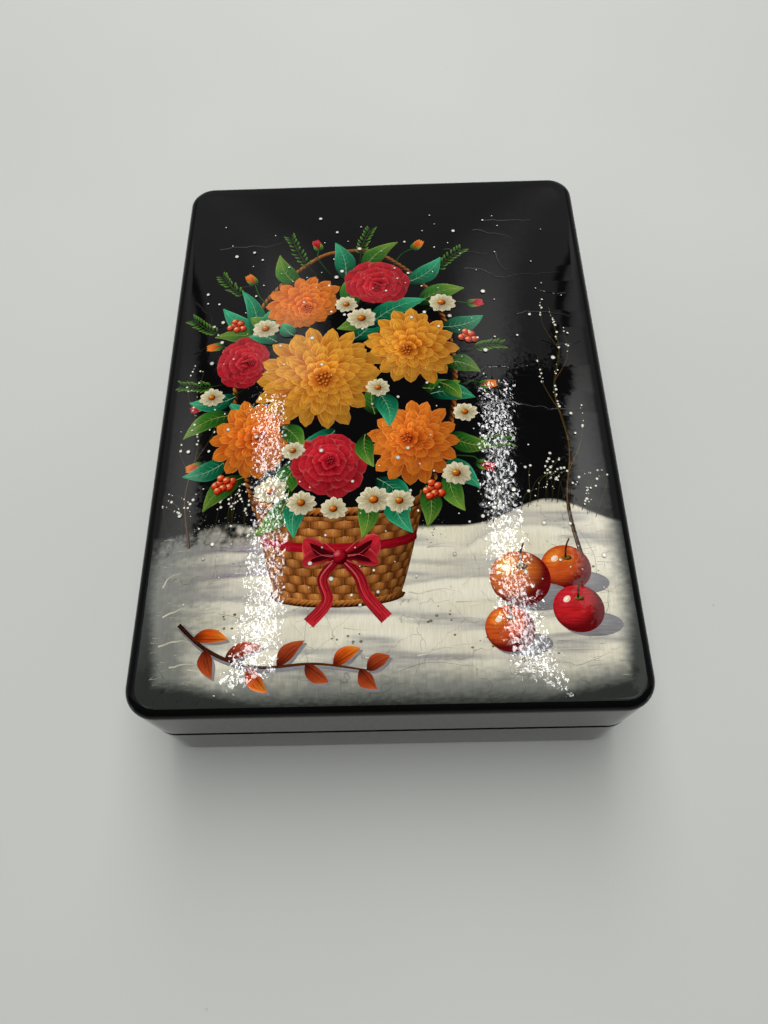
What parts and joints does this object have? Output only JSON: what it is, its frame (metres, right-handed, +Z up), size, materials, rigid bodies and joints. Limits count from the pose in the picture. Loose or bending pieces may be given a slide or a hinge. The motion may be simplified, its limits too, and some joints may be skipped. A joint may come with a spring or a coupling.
{
  "type": "hinged box",
  "caption": "Flat rectangular lacquered box with rounded corners, a crowned lid with a painted top hinged at its rear short side, and an inner lip over which the lid closes.",
  "frame": {"origin": "middle of the flat underside", "axes": "+Z up, +Y to the hinged rear side, along the box's length, +X to the right seen from the front"},
  "size_m": [0.1, 0.139, 0.0381],
  "materials": {
    "base_lacquer": "gloss lacquer",
    "lid_lacquer": "gloss lacquer",
    "lid_painted": "gloss lacquer over a painted top",
    "lip_lacquer": "satin lacquer",
    "hinge_brass": "satin",
    "hinge_steel": "satin"
  },
  "bodies": {
    "base": {"base_frame": "base_lacquer", "bottom_panel": "base_lacquer", "lip_front": "lip_lacquer", "lip_right": "lip_lacquer", "lip_rear": "lip_lacquer", "lip_left": "lip_lacquer", "hinge_leaf_base": "hinge_brass", "hinge_wire": "hinge_steel", "base_cross_pins": "hinge_brass"},
    "lid": {"lid_frame": "lid_lacquer", "lid_panel": "lid_painted", "hinge_leaf_lid": "hinge_brass", "lid_cross_pins": "hinge_brass"}
  },
  "joints": [
    {"name": "lid_hinge", "type": "hinge", "parent": "base", "child": "lid", "pos_m": [0, 0.0676, 0.0173], "axis": [-1, 0, 0], "range_deg": [0, 102]}
  ]
}
